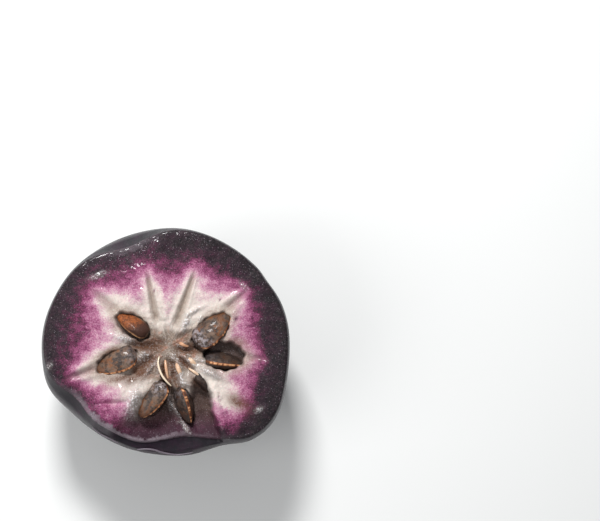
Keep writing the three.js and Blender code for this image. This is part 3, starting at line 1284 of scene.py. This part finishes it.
@dataclass(frozen=True)
class SeedFinish:
    """The glossy brown coat of a seed and the dull orange scar along its edge.

    Attributes:
        coat: The coat.
        coat_dark: Its darker streaks.
        coat_rusty: Its rusty patches.
        coat_shaded: The painted shade of the coat, for a seed lying in shadow and at every seed's ends.
        jelly_and_glint: Clear jelly that clings to it, paler where it also serves as a painted glint.
        scar: The scar.
        scar_pale: The beads along the scar's border.
        scar_dark: The worn parts of the scar.
    """

    coat: Color = rgb(122, 98, 82)
    coat_dark: Color = rgb(60, 49, 44)
    coat_rusty: Color = rgb(136, 84, 48)
    coat_shaded: Color = rgb(34, 26, 26)
    jelly_and_glint: Color = rgb(176, 166, 170)
    scar: Color = rgb(164, 92, 48)
    scar_pale: Color = rgb(236, 178, 130)
    scar_dark: Color = rgb(66, 38, 28)

    def build(self) -> bpy.types.Material:
        """Builds the material.

        Returns:
            The material.
        """
        material, shader, surface = new_material("star_apple_seed_coat")
        place = shader.place()
        grain = shader.juicy_grain(0.35, 1.8)
        fine = grain.outputs["Tint"]
        streak = shader.grade(shader.noise(place, 1.5, 4.0, 0.65), 0.4, 0.6)
        coat = shader.mix(streak, self.coat_dark, self.coat)
        rust = shader.noise(place, 2.0, 5.0, 0.7)
        rusty = shader.math("MULTIPLY_ADD", shader.attribute("outer"), 0.14, rust)
        coat = shader.mix(shader.grade(rusty, 0.52, 0.66, 0.0, 0.85), coat, self.coat_rusty)
        # Painted shade: a seed lying in shadow, and each seed's ends, turn towards the shaded coat.
        shade = shader.math("MULTIPLY_ADD", fine, 0.3, shader.attribute("painted_shade"), clamp=True)
        coat = shader.mix(shader.math("MULTIPLY", shade, 0.8), coat, self.coat_shaded)
        # Painted highlight: the pale jelly at a seed's inner end also stands in for the glint there.
        clot = shader.grade(shader.noise(place, 0.9, 3.0, 0.6), 0.42, 0.6)
        jelly_and_glint = shader.math("MULTIPLY", shader.attribute("jelly_and_glint"), clot)
        coat = shader.mix(shader.math("MULTIPLY", jelly_and_glint, 0.85), coat, self.jelly_and_glint)
        worn = shader.math("MULTIPLY_ADD", shader.attribute("worn"), 1.0, shader.math("MULTIPLY", fine, 0.7))
        scar = shader.mix(shader.grade(worn, -0.1, 0.75), self.scar, self.scar_dark)
        flecks = shader.grade(shader.noise(place, 0.55, 4.0, 0.75), 0.48, 0.6, 0.0, 0.85)
        scar = shader.mix(flecks, scar, self.scar_dark)
        scar = shader.mix(shader.attribute("bead"), scar, self.scar_pale)
        scar = shader.mix(shader.attribute("gap"), scar, self.scar_dark)
        mark = shader.grade(shader.math("MULTIPLY_ADD", fine, 0.35, shader.attribute("scar")), 0.35, 0.65)
        shader.join(shader.mix(mark, coat, scar), surface.inputs["Base Color"])
        shader.join(shader.grade(mark, 0.0, 1.0, 0.36, 0.55), surface.inputs["Roughness"])
        dry = shader.grade(mark, 0.0, 1.0, 0.14, 0.1)
        shader.join(shader.math("MULTIPLY_ADD", jelly_and_glint, 0.7, dry, clamp=True), surface.inputs["Coat Weight"])
        surface.inputs["Coat Roughness"].default_value = 0.08
        surface.inputs["Specular IOR Level"].default_value = 0.3
        wrinkles = shader.math("MULTIPLY", shader.noise(place, 0.8, 4.0, 0.6), 1.4)
        shader.roughen(surface, shader.math("ADD", grain.outputs["Height"], wrinkles), 0.14)
        return material


@dataclass(frozen=True)
class StrandFinish:
    """A damp strand, from pale to warm: what ties the seeds to the core, or a torn edge of the skin.

    Attributes:
        name: The material's name.
        pale: Its colour where its warmth is 0.
        warm: Its colour where its warmth is 1.
    """

    name: str = "star_apple_core_strands"
    pale: Color = rgb(234, 216, 190)
    warm: Color = rgb(196, 128, 82)

    def build(self) -> bpy.types.Material:
        """Builds the material.

        Returns:
            The material.
        """
        material, shader, surface = new_material(self.name)
        grain = shader.juicy_grain(0.3, 1.5)
        warm = shader.math("MULTIPLY_ADD", grain.outputs["Tint"], 0.4, shader.attribute("warm"), clamp=True)
        shader.join(shader.mix(warm, self.pale, self.warm), surface.inputs["Base Color"])
        surface.inputs["Roughness"].default_value = 0.4
        surface.inputs["Coat Weight"].default_value = 0.4
        surface.inputs["Coat Roughness"].default_value = 0.1
        shader.roughen(surface, grain.outputs["Height"], 0.06)
        return material


# ---------------------------------------------------------------------------------------------------------
# Pieces
# ---------------------------------------------------------------------------------------------------------


def piece_from(
    bm: bmesh.types.BMesh, name: str, material: bpy.types.Material, node: str | None = None
) -> bpy.types.Object:
    """Turns a finished bmesh into a smooth piece of the object.

    Args:
        bm: The bmesh, in metres and in place. It is freed.
        name: The piece's name.
        material: Its finish.
        node: The CAD node that it stands for, if it does.

    Returns:
        The piece.
    """
    mesh = bpy.data.meshes.new(name)
    for face in bm.faces:
        face.smooth = True
    bm.to_mesh(mesh)
    bm.free()
    mesh.materials.append(material)
    piece = bpy.data.objects.new(name, mesh)
    bpy.context.scene.collection.objects.link(piece)
    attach(piece, "root")
    if node:
        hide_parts(node)
    log.info("%s: %d faces", name, len(mesh.polygons))
    return piece


def write_values(mesh: bpy.types.Mesh, values: dict[str, np.ndarray]) -> None:
    """Stores values for the material.

    Args:
        mesh: The mesh.
        values: Each value's name and the value at every point of the mesh.
    """
    for name, value in values.items():
        layer = mesh.attributes.new(name, "FLOAT", "POINT")
        layer.data.foreach_set("value", value.astype(np.float32))


@dataclass
class HalfFruit:
    """The half fruit, flesh and skin in one closed mesh.

    Attributes:
        outline: Its outline.
        face: Its cut face.
        spokes: How many steps there are round it.
        face_rings: How many rings the cut face has.
        rim_rings: How many of those lie closer together along the rim.
        rim_step: How far apart those are, beside the others.
        skin_rings: How many rings the skin has.
        spot_rings: How many rings the flat spot has.
    """

    outline: FruitOutline
    face: CutFace
    spokes: int = 560
    face_rings: int = 112
    rim_rings: int = 5
    rim_step: float = 0.8
    skin_rings: int = 44
    spot_rings: int = 4

    def drum(self) -> bmesh.types.BMesh:
        """Spins a drum one unit wide and high: its lid is the cut face and its wall is the skin.

        Returns:
            The drum.
        """
        lid = [(ring / self.face_rings, 1.0) for ring in range(self.face_rings - self.rim_rings)]
        close = range(self.rim_rings, 0, -1)
        lid += [(1 - step / self.face_rings * self.rim_step, 1.0) for step in close]
        wall = [(1.0, 1 - ring / self.skin_rings) for ring in range(self.skin_rings)]
        base = [(1 - ring / self.spot_rings, 0.0) for ring in range(self.spot_rings + 1)]
        bm = bmesh.new()
        points = [bm.verts.new((share, 0, level)) for share, level in lid + wall + base]
        edges = [bm.edges.new(pair) for pair in zip(points, points[1:])]
        bmesh.ops.spin(
            bm,
            geom=points + edges,
            cent=(0, 0, 0),
            axis=(0, 0, 1),
            angle=math.tau,
            steps=self.spokes,
            use_merge=True,
        )
        bmesh.ops.remove_doubles(bm, verts=bm.verts, dist=1e-6)
        bmesh.ops.recalc_face_normals(bm, faces=bm.faces)
        return bm

    def build(self, material: bpy.types.Material) -> bpy.types.Object:
        """Shapes the drum into the fruit and stores the tints of its flesh.

        Args:
            material: The fruit's finish.

        Returns:
            The piece.
        """
        bm = self.drum()
        points = np.array([vert.co for vert in bm.verts])
        angle = np.degrees(np.arctan2(points[:, 1], points[:, 0]))
        share = np.clip(np.hypot(points[:, 0], points[:, 1]), 0, 1)
        level = points[:, 2]
        lid = level > 1 - 1e-6
        placed = np.where(lid[:, None], self.on_face(angle, share), self.on_skin(angle, share, level))
        for vert, point in zip(bm.verts, placed):
            vert.co = point * MM
        bmesh.ops.recalc_face_normals(bm, faces=bm.faces)
        piece = piece_from(bm, "star_apple_half", material, "fruit_half")
        write_values(piece.data, self.tints(placed, angle, share, lid))
        return piece

    def on_face(self, angle: np.ndarray, share: np.ndarray) -> np.ndarray:
        """Places points of the cut face.

        Args:
            angle: Their spokes' directions.
            share: How far out along their spokes they are.

        Returns:
            The places, one a row.
        """
        turn, reach = np.radians(angle), self.outline.rim_radius(angle) * share
        x = self.face.core[0] * (1 - share) + reach * np.cos(turn)
        y = self.face.core[1] * (1 - share) + reach * np.sin(turn)
        return np.column_stack([x, y, self.face.heights(x, y, angle, share)])

    def on_skin(self, angle: np.ndarray, share: np.ndarray, level: np.ndarray) -> np.ndarray:
        """Places points of the skin, down to the spot that the fruit rests on.

        Args:
            angle: Their directions.
            share: How far out on the resting spot they are, and 1 up the wall.
            level: 0 on the resting spot and 1 at the cut face.

        Returns:
            The places, one a row.
        """
        turn = np.radians(angle)
        top = self.outline.rim_z(angle) - self.face.edge_rounding
        z = top * (1 - np.cos(level * math.pi / 2 * 0.999)) * 0.55 + top * level**1.6 * 0.45
        reach = self.outline.skin_radius(angle, z) * share
        plain = np.column_stack([reach * np.cos(turn), reach * np.sin(turn), z])
        dents = rough_field(plain, 16.0, 2, seed=7)
        reach = reach + 0.25 * dents * np.sin(np.clip(level, 0, 1) * math.pi)
        return np.column_stack([reach * np.cos(turn), reach * np.sin(turn), z])

    def tints(
        self, placed: np.ndarray, angle: np.ndarray, share: np.ndarray, lid: np.ndarray
    ) -> dict[str, np.ndarray]:
        """Works out the values that colour the fruit.

        Args:
            placed: The points, in millimetres.
            angle: Their directions.
            share: How far out along its spoke each one is.
            lid: Which ones are on the cut face.

        Returns:
            Each value's name and the value at every point.
        """
        x, y = placed[:, 0], placed[:, 1]
        face = self.face
        ragged = face.ragged(x, y)
        pocket, damp, hollow = face.pocket_marks(x, y)
        _, cleft, brown = face.cleft_marks(x, y)
        torn = face.torn_mark(x, y, ragged)
        edge_side = sum(hump.height(angle) for hump in (Hump(243, 1, 26, 36), Hump(112, 0.26, 16, 16)))
        wander = 0.35 * flat_field(x, y, 3.0, 3, seed=9)
        from_rim = (1 - share) * self.outline.rim_radius(angle)
        frays = flat_field(x, y, 0.9, 3, seed=13)
        ribbon = bell(from_rim - 0.8 - 1.8 * wander, 0.95) + 0.5 * wander + 0.45 * frays
        # Brown stains, with brown painted shadow among them.
        stain_and_shadow = np.maximum(brown, face.stain_and_shadow_mark(x, y)) * (0.85 + 0.4 * face.fibres(x, y))
        values = {
            "blush": face.blush(x, y),
            "cleft": cleft,
            "damp": np.clip(0.85 * damp * (1 - 0.5 * torn), 0, 1),
            "core": smooth(1.35, 0.6, face.core_reach_at(x, y) + 0.15 * ragged) * (1 - torn),
            "brown": np.clip(stain_and_shadow, 0, 1),
            "gel": face.gel_mark(x, y),
            "nick": face.nick_mark(x, y),
            # The torn hollow's colour is partly painted shadow, kept dark where the flap's shade falls.
            "torn": torn,
            # Painted shadow: a seed's pocket is coloured dark, more so where it is deep.
            "pocket": smooth(0.15, 0.75, pocket) * smooth(-1.2, 3.2, hollow + 1.0 * (1 - pocket)),
            "outward": share,
            "cut_edge": smooth(0.3, 0.75, ribbon) * np.clip(1.3 * edge_side, 0, 1),
            # Where painted sparkles and more coat gather along the upper crest.
            "crest": bell(from_rim - 1.6 - wander, 1.8) * Hump(110, 1.0, 20, 20).height(angle),
        }
        values = {name: np.where(lid, value, 0.0) for name, value in values.items()}
        values["blush"] = np.where(lid, values["blush"], 1.0)
        values["skin"] = np.where(lid, smooth(0.9985, 1.0, share), 1.0)
        return values


@dataclass
class Seed:
    """One seed: a flattened drop with a scar along its upper edge.

    Attributes:
        place: How it lies.
        half: Half its length, its thickness and its depth from back to scar.
        taper: How much slimmer its point is.
        ridge: How much thinner it is at its scar.
        bluntness: How much fuller its inner end is.
        hidden_spread: Up to this spread of a scar, the scar faces down and isn't seen.
        broad_spread: Past this spread, the scar is seen from its broad side.
        sides: How many sides the seed has along its length.
        rings: How many rings it has from point to point.
    """

    place: SeedPlace
    half: tuple[float, float, float] = (6.3, 2.7, 4.2)
    taper: float = 0.24
    ridge: float = 0.3
    bluntness: float = 0.3
    hidden_spread: float = 4.0
    broad_spread: float = 40.0
    sides: int = 88
    rings: int = 64

    def build(self, material: bpy.types.Material) -> bpy.types.Object:
        """Shapes the seed and lays it in its chamber.

        Args:
            material: The seed's finish.

        Returns:
            The piece.
        """
        bm = bmesh.new()
        bmesh.ops.create_uvsphere(bm, u_segments=self.sides, v_segments=self.rings, radius=1)
        quarter = Matrix.Rotation(math.radians(90), 3, "Y")
        bmesh.ops.rotate(bm, verts=bm.verts, cent=(0, 0, 0), matrix=quarter)
        unit = np.array([vert.co for vert in bm.verts])
        shaped, values = self.shaped(unit)
        turned = np.array(self.place.turned().to_3x3())
        laid = shaped * self.place.size @ turned.T
        shift = np.array(self.place.middle()) - (laid.min(0) + laid.max(0)) / 2
        for vert, point in zip(bm.verts, laid + shift):
            vert.co = point * MM
        bmesh.ops.recalc_face_normals(bm, faces=bm.faces)
        piece = piece_from(bm, f"{self.place.node}_dressed", material, self.place.node)
        write_values(piece.data, values)
        return piece

    def shaped(self, unit: np.ndarray) -> tuple[np.ndarray, dict[str, np.ndarray]]:
        """Shapes points of a unit ball into the seed.

        Args:
            unit: The ball's points.

        Returns:
            The seed's points in millimetres, and the values that colour it.
        """
        x, y, z = unit[:, 0], unit[:, 1], unit[:, 2]
        turn = np.degrees(np.arctan2(y, z))
        round_turn = np.abs(turn)
        spread = self.place.scar_spread
        slimmer = (1 - self.taper * x) * (1 + self.bluntness * np.clip(-x, 0, None) ** 2)
        thinner = 1 - self.ridge * np.clip(z, 0, None)
        seed = float(len(self.place.node))
        dents = rough_field(np.column_stack([x * 6, y * 3, z * 4]), 2.6, 3, seed=seed)
        creases = rough_field(np.column_stack([x * 2.4, y * 5, z * 7]), 1.6, 3, seed=seed + 2)
        along = np.column_stack([x * 7, y * 0, z * 0])
        wave = np.sin(x * 23 + 4.5 * rough_field(along, 2.0, 2, seed=seed + 1))
        wave = np.clip(wave + 0.9 * rough_field(along, 1.1, 2, seed=seed + 5), -1, 1)
        ends = smooth(1.0, 0.9, np.abs(x))
        inside = smooth(spread * 1.25, spread * 0.8, round_turn) * ends
        if spread > self.broad_spread:
            border = bell(turn - 0.5 * spread, 9.0) * ends
            wave = 0.5 + 0.5 * wave
            gaps = np.zeros_like(wave)
            worn = smooth(0.35, -0.75, x - 0.35 * np.sign(turn) * round_turn / spread)
        else:
            border = bell(round_turn, 0.8 * spread) * ends * (spread > self.hidden_spread)
            inside = inside * (spread > self.hidden_spread)
            gaps = border * smooth(-0.25, -0.8, wave)
            worn = np.zeros_like(wave)
        grown = 1 + 0.04 * dents + 0.02 * creases * (1 - inside) + border * (0.035 + 0.02 * wave)
        points = np.column_stack(
            [
                x * self.half[0],
                y * self.half[1] * slimmer * thinner * grown,
                z * self.half[2] * slimmer * grown,
            ]
        )
        inner = smooth(-0.15, -0.8, x + 0.3 * dents)
        values = {
            "scar": inside,
            "bead": np.clip(border * (0.5 + 0.5 * wave), 0, 1),
            "gap": gaps,
            "worn": worn,
            "jelly_and_glint": self.place.jelly_and_glint * inner * (1 - inside),
            "outer": np.clip(x, 0, 1),
            # Painted shade: the seed's own amount, more towards its ends where they meet the pocket.
            "painted_shade": np.clip(self.place.painted_shade + 0.45 * smooth(0.1, 0.9, np.abs(x)) * (1 - inside), 0, 1),
        }
        return points, values


@dataclass(frozen=True)
class Strand:
    """One strand of the core.

    Attributes:
        path: Its route, as places in the fruit.
        thick: Half its thickness at its middle.
        warm: How orange it is, from 0, cream, to 1.
    """

    path: tuple[Spot, ...]
    thick: float
    warm: float


CORE_STRANDS = (
    Strand(
        (
            (-1.9, -5.2, 38.0),
            (-2.2, -7.4, 38.6),
            (-1.3, -10.2, 38.9),
            (0.1, -12.2, 38.9),
            (1.8, -13.8, 38.4),
        ),
        0.3,
        0.0,
    ),
    Strand(((-0.2, -6.2, 37.7), (0.1, -8.8, 38.2), (0.7, -11.6, 37.8)), 0.42, 0.65),
    Strand(((6.5, -8.6, 37.8), (8.2, -9.7, 38.4), (9.9, -11.0, 38.0)), 0.36, 0.35),
    Strand(((6.4, -5.7, 37.7), (7.4, -6.6, 38.1), (8.6, -7.6, 37.7)), 0.68, 0.4),
    Strand(((3.8, -1.3, 37.0), (4.9, -1.7, 37.3), (6.4, -2.2, 37.0)), 0.55, 0.75),
    Strand(((3.0, -7.2, 37.8), (3.6, -8.9, 38.6), (4.4, -10.8, 38.4)), 0.65, 0.5),
)


@dataclass
class StrandSet:
    """Thin strands that lie on the fruit, in one piece.

    Attributes:
        name: The piece's name.
        strands: The strands.
        sides: How many sides a strand has.
        steps: How many steps long a strand is.
    """

    name: str
    strands: tuple[Strand, ...]
    sides: int = 14
    steps: int = 26

    def build(self, material: bpy.types.Material) -> bpy.types.Object:
        """Builds every strand.

        Args:
            material: The strands' finish.

        Returns:
            The piece.
        """
        bm = bmesh.new()
        warm = bm.verts.layers.float.new("warm")
        for strand in self.strands:
            before = len(bm.verts)
            self.draw(bm, strand)
            bm.verts.ensure_lookup_table()
            for vert in bm.verts[before:]:
                vert[warm] = strand.warm
        bmesh.ops.recalc_face_normals(bm, faces=bm.faces)
        return piece_from(bm, self.name, material)

    def draw(self, bm: bmesh.types.BMesh, strand: Strand) -> None:
        """Draws a ring out along a strand's route, and closes both ends.

        Args:
            bm: The bmesh to draw in.
            strand: The strand.
        """
        route = self.route(strand)
        made = bmesh.ops.create_circle(bm, segments=self.sides, radius=1, cap_ends=True)
        face = made["verts"][0].link_faces[0]
        self.lay_ring(list(face.verts), route, 0, strand)
        for step in range(1, self.steps + 1):
            spent = face
            grown = bmesh.ops.extrude_face_region(bm, geom=[spent])["geom"]
            face = next(item for item in grown if isinstance(item, bmesh.types.BMFace))
            if step > 1:
                bmesh.ops.delete(bm, geom=[spent], context="FACES_ONLY")
            self.lay_ring(list(face.verts), route, step, strand)

    def route(self, strand: Strand) -> list[Vector]:
        """Smooths a strand's route into even steps.

        Args:
            strand: The strand.

        Returns:
            The places along the route, with one past its end.
        """
        knots = [Vector(point) for point in strand.path]
        places = []
        for step in range(self.steps + 2):
            along = step / (self.steps + 1) * (len(knots) - 1)
            at = min(int(along), len(knots) - 2)
            before, start = knots[max(at - 1, 0)], knots[at]
            end, after = knots[at + 1], knots[min(at + 2, len(knots) - 1)]
            share = along - at
            bend = (end - before) / 2 * (share - 2 * share**2 + share**3)
            bend += (after - start) / 2 * (share**3 - share**2)
            places.append(start + (end - start) * (3 * share**2 - 2 * share**3) + bend)
        return places

    def lay_ring(
        self, ring: list[bmesh.types.BMVert], route: list[Vector], step: int, strand: Strand
    ) -> None:
        """Lays one ring of points round its place on the route.

        Args:
            ring: The ring's points.
            route: The route.
            step: Which place the ring goes to.
            strand: The strand.
        """
        ahead = (route[step + 1] - route[step]).normalized()
        side = ahead.cross(Vector((0, 0, 1))).normalized()
        above = side.cross(ahead)
        share = step / self.steps
        thick = strand.thick * (0.12 + 0.88 * math.sin(math.pi * (0.06 + 0.88 * share)) ** 0.6)
        for number, vert in enumerate(ring):
            turn = math.tau * number / len(ring)
            vert.co = (route[step] + (side * math.cos(turn) + above * math.sin(turn) * 0.8) * thick) * MM


@dataclass(frozen=True)
class SkinTear:
    """The thin raised edges where the skin tore along the lower side.

    Attributes:
        outline: The fruit's outline.
        routes: Each edge's route, as directions from the axis and heights.
        thick: Half an edge's thickness.
        lift: How far an edge's middle stands off the skin.
        warm: How far its colour is from the paler to the darker one.
    """

    outline: FruitOutline
    routes: tuple[tuple[Place, ...], ...] = (
        (
            (256, 33.6),
            (259.5, 34.2),
            (263, 34.0),
            (266, 33.4),
            (268.6, 32.7),
            (275, 31.8),
            (280, 32.1),
            (285, 32.7),
        ),
        ((231, 35.4), (236, 34.8), (242, 34.9), (247, 34.3)),
    )
    thick: float = 0.25
    lift: float = 0.3
    warm: float = 0.2

    def strands(self) -> tuple[Strand, ...]:
        """Lays the edges on the skin."""
        return tuple(Strand(self.on_skin(route), self.thick, self.warm) for route in self.routes)

    def on_skin(self, route: tuple[Place, ...]) -> tuple[Spot, ...]:
        """Finds the places on the skin that a route passes.

        Args:
            route: Directions from the axis and heights.

        Returns:
            The places, in millimetres.
        """
        places = []
        for toward, z in route:
            reach = self.outline.skin_radius(np.array([float(toward)]), np.array([z]))[0] + self.lift
            turn = math.radians(toward)
            places.append((reach * math.cos(turn), reach * math.sin(turn), z))
        return tuple(places)


# ---------------------------------------------------------------------------------------------------------
# Studio
# ---------------------------------------------------------------------------------------------------------


class Side(Enum):
    """The sides that a studio light stands on, as its place in millimetres."""

    BEHIND_LEFT = (-70.0, 330.0, 430.0)
    FRONT_LEFT = (-330.0, -160.0, 330.0)


@dataclass(frozen=True)
class SoftLight:
    """A square soft light.

    Attributes:
        side: Where it stands.
        power: Its power in watts.
        width: Its width in millimetres.
    """

    side: Side
    power: float
    width: float

    def build(self, aim: Vector) -> None:
        """Sets the light up.

        Args:
            aim: The place that it shines at, in metres.
        """
        data = bpy.data.lights.new(f"light_{self.side.name.lower()}", "AREA")
        data.energy, data.size = self.power, self.width * MM
        light = bpy.data.objects.new(data.name, data)
        light.location = Vector(self.side.value) * MM
        light.rotation_mode = "QUATERNION"
        light.rotation_quaternion = (aim - light.location).to_track_quat("-Z", "Y")
        bpy.context.scene.collection.objects.link(light)


@dataclass
class Studio:
    """A pale floor, soft light and the camera.

    Attributes:
        lens: The camera's lens, in millimetres.
        sensor: The width of its sensor.
        level: Height of the level that the camera is set up for, the fruit's widest.
        view_width: How wide the view is at that level.
        lean: How far the camera leans to the front from straight above.
        off_centre: How far right and up of the fruit the view's middle is.
        floor_width: The width of the floor.
        lights: The lights.
    """

    lens: float = 85.0
    sensor: float = 36.0
    level: float = FruitOutline.widest_z
    view_width: float = 175.6
    lean: float = 5.0
    off_centre: Place = (38.9, 23.9)
    floor_width: float = 4000.0
    lights: tuple[SoftLight, ...] = (
        SoftLight(Side.BEHIND_LEFT, 2.7, 120),
        SoftLight(Side.FRONT_LEFT, 0.9, 300),
    )

    def build(self) -> None:
        """Sets up the floor, the light and the camera."""
        _, high = cad_box
        self.build_floor()
        self.build_world()
        for light in self.lights:
            light.build(Vector((0, 0, high.z * 0.8)))
        self.build_camera()
        bpy.context.scene.view_settings.view_transform = "Standard"

    def build_floor(self) -> None:
        """Lays a pale floor under the fruit."""
        bm = bmesh.new()
        bmesh.ops.create_grid(bm, x_segments=1, y_segments=1, size=self.floor_width * MM / 2)
        mesh = bpy.data.meshes.new("floor")
        bm.to_mesh(mesh)
        bm.free()
        material = bpy.data.materials.new("pale_floor")
        material.use_nodes = True
        surface = material.node_tree.nodes["Principled BSDF"]
        surface.inputs["Base Color"].default_value = rgb(240, 241, 240)
        surface.inputs["Roughness"].default_value = 0.7
        mesh.materials.append(material)
        floor = bpy.data.objects.new("floor", mesh)
        bpy.context.scene.collection.objects.link(floor)

    def build_world(self) -> None:
        """Lights the scene evenly with a pale surrounding."""
        world = bpy.data.worlds.new("pale_surround")
        world.use_nodes = True
        background = world.node_tree.nodes["Background"]
        background.inputs["Color"].default_value = (0.97, 0.98, 1.0, 1.0)
        background.inputs["Strength"].default_value = 0.33
        bpy.context.scene.world = world

    def build_camera(self) -> None:
        """Hangs the camera over the fruit, looking past it."""
        data = bpy.data.cameras.new("camera")
        data.lens, data.sensor_width = self.lens, self.sensor
        away = self.view_width * MM / 2 / (self.sensor / 2 / self.lens)
        lean = math.radians(self.lean)
        middle = Vector((0, 0, self.level * MM))
        camera = bpy.data.objects.new("camera", data)
        camera.location = middle + Vector((0, -math.sin(lean), math.cos(lean))) * away
        across = Vector((1, 0, 0))
        up = Vector((0, math.cos(lean), math.sin(lean)))
        aim = middle + (across * self.off_centre[0] + up * self.off_centre[1]) * MM
        back = (camera.location - aim).normalized()
        side = Vector((0, 1, 0)).cross(back).normalized()
        camera.rotation_mode = "QUATERNION"
        camera.rotation_quaternion = Matrix((side, back.cross(side), back)).transposed().to_quaternion()
        bpy.context.scene.collection.objects.link(camera)
        bpy.context.scene.camera = camera


def main() -> None:
    """Builds the fruit, its seeds and the studio."""
    logging.basicConfig(level=logging.INFO, format="%(name)s %(message)s")
    cut_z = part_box("fruit_half")[1].z / MM
    outline = FruitOutline(cut_z)
    face = CutFace(outline)
    HalfFruit(outline, face).build(FruitFinish().build())
    seed_coat = SeedFinish().build()
    for place in SEEDS:
        Seed(place).build(seed_coat)
    StrandSet("core_strands", CORE_STRANDS).build(StrandFinish().build())
    torn_edges = StrandFinish("star_apple_torn_skin_edge", rgb(126, 116, 126), rgb(70, 52, 66))
    StrandSet("torn_skin_edges", SkinTear(outline).strands()).build(torn_edges.build())
    Studio().build()


if __name__ == "__main__":
    main()
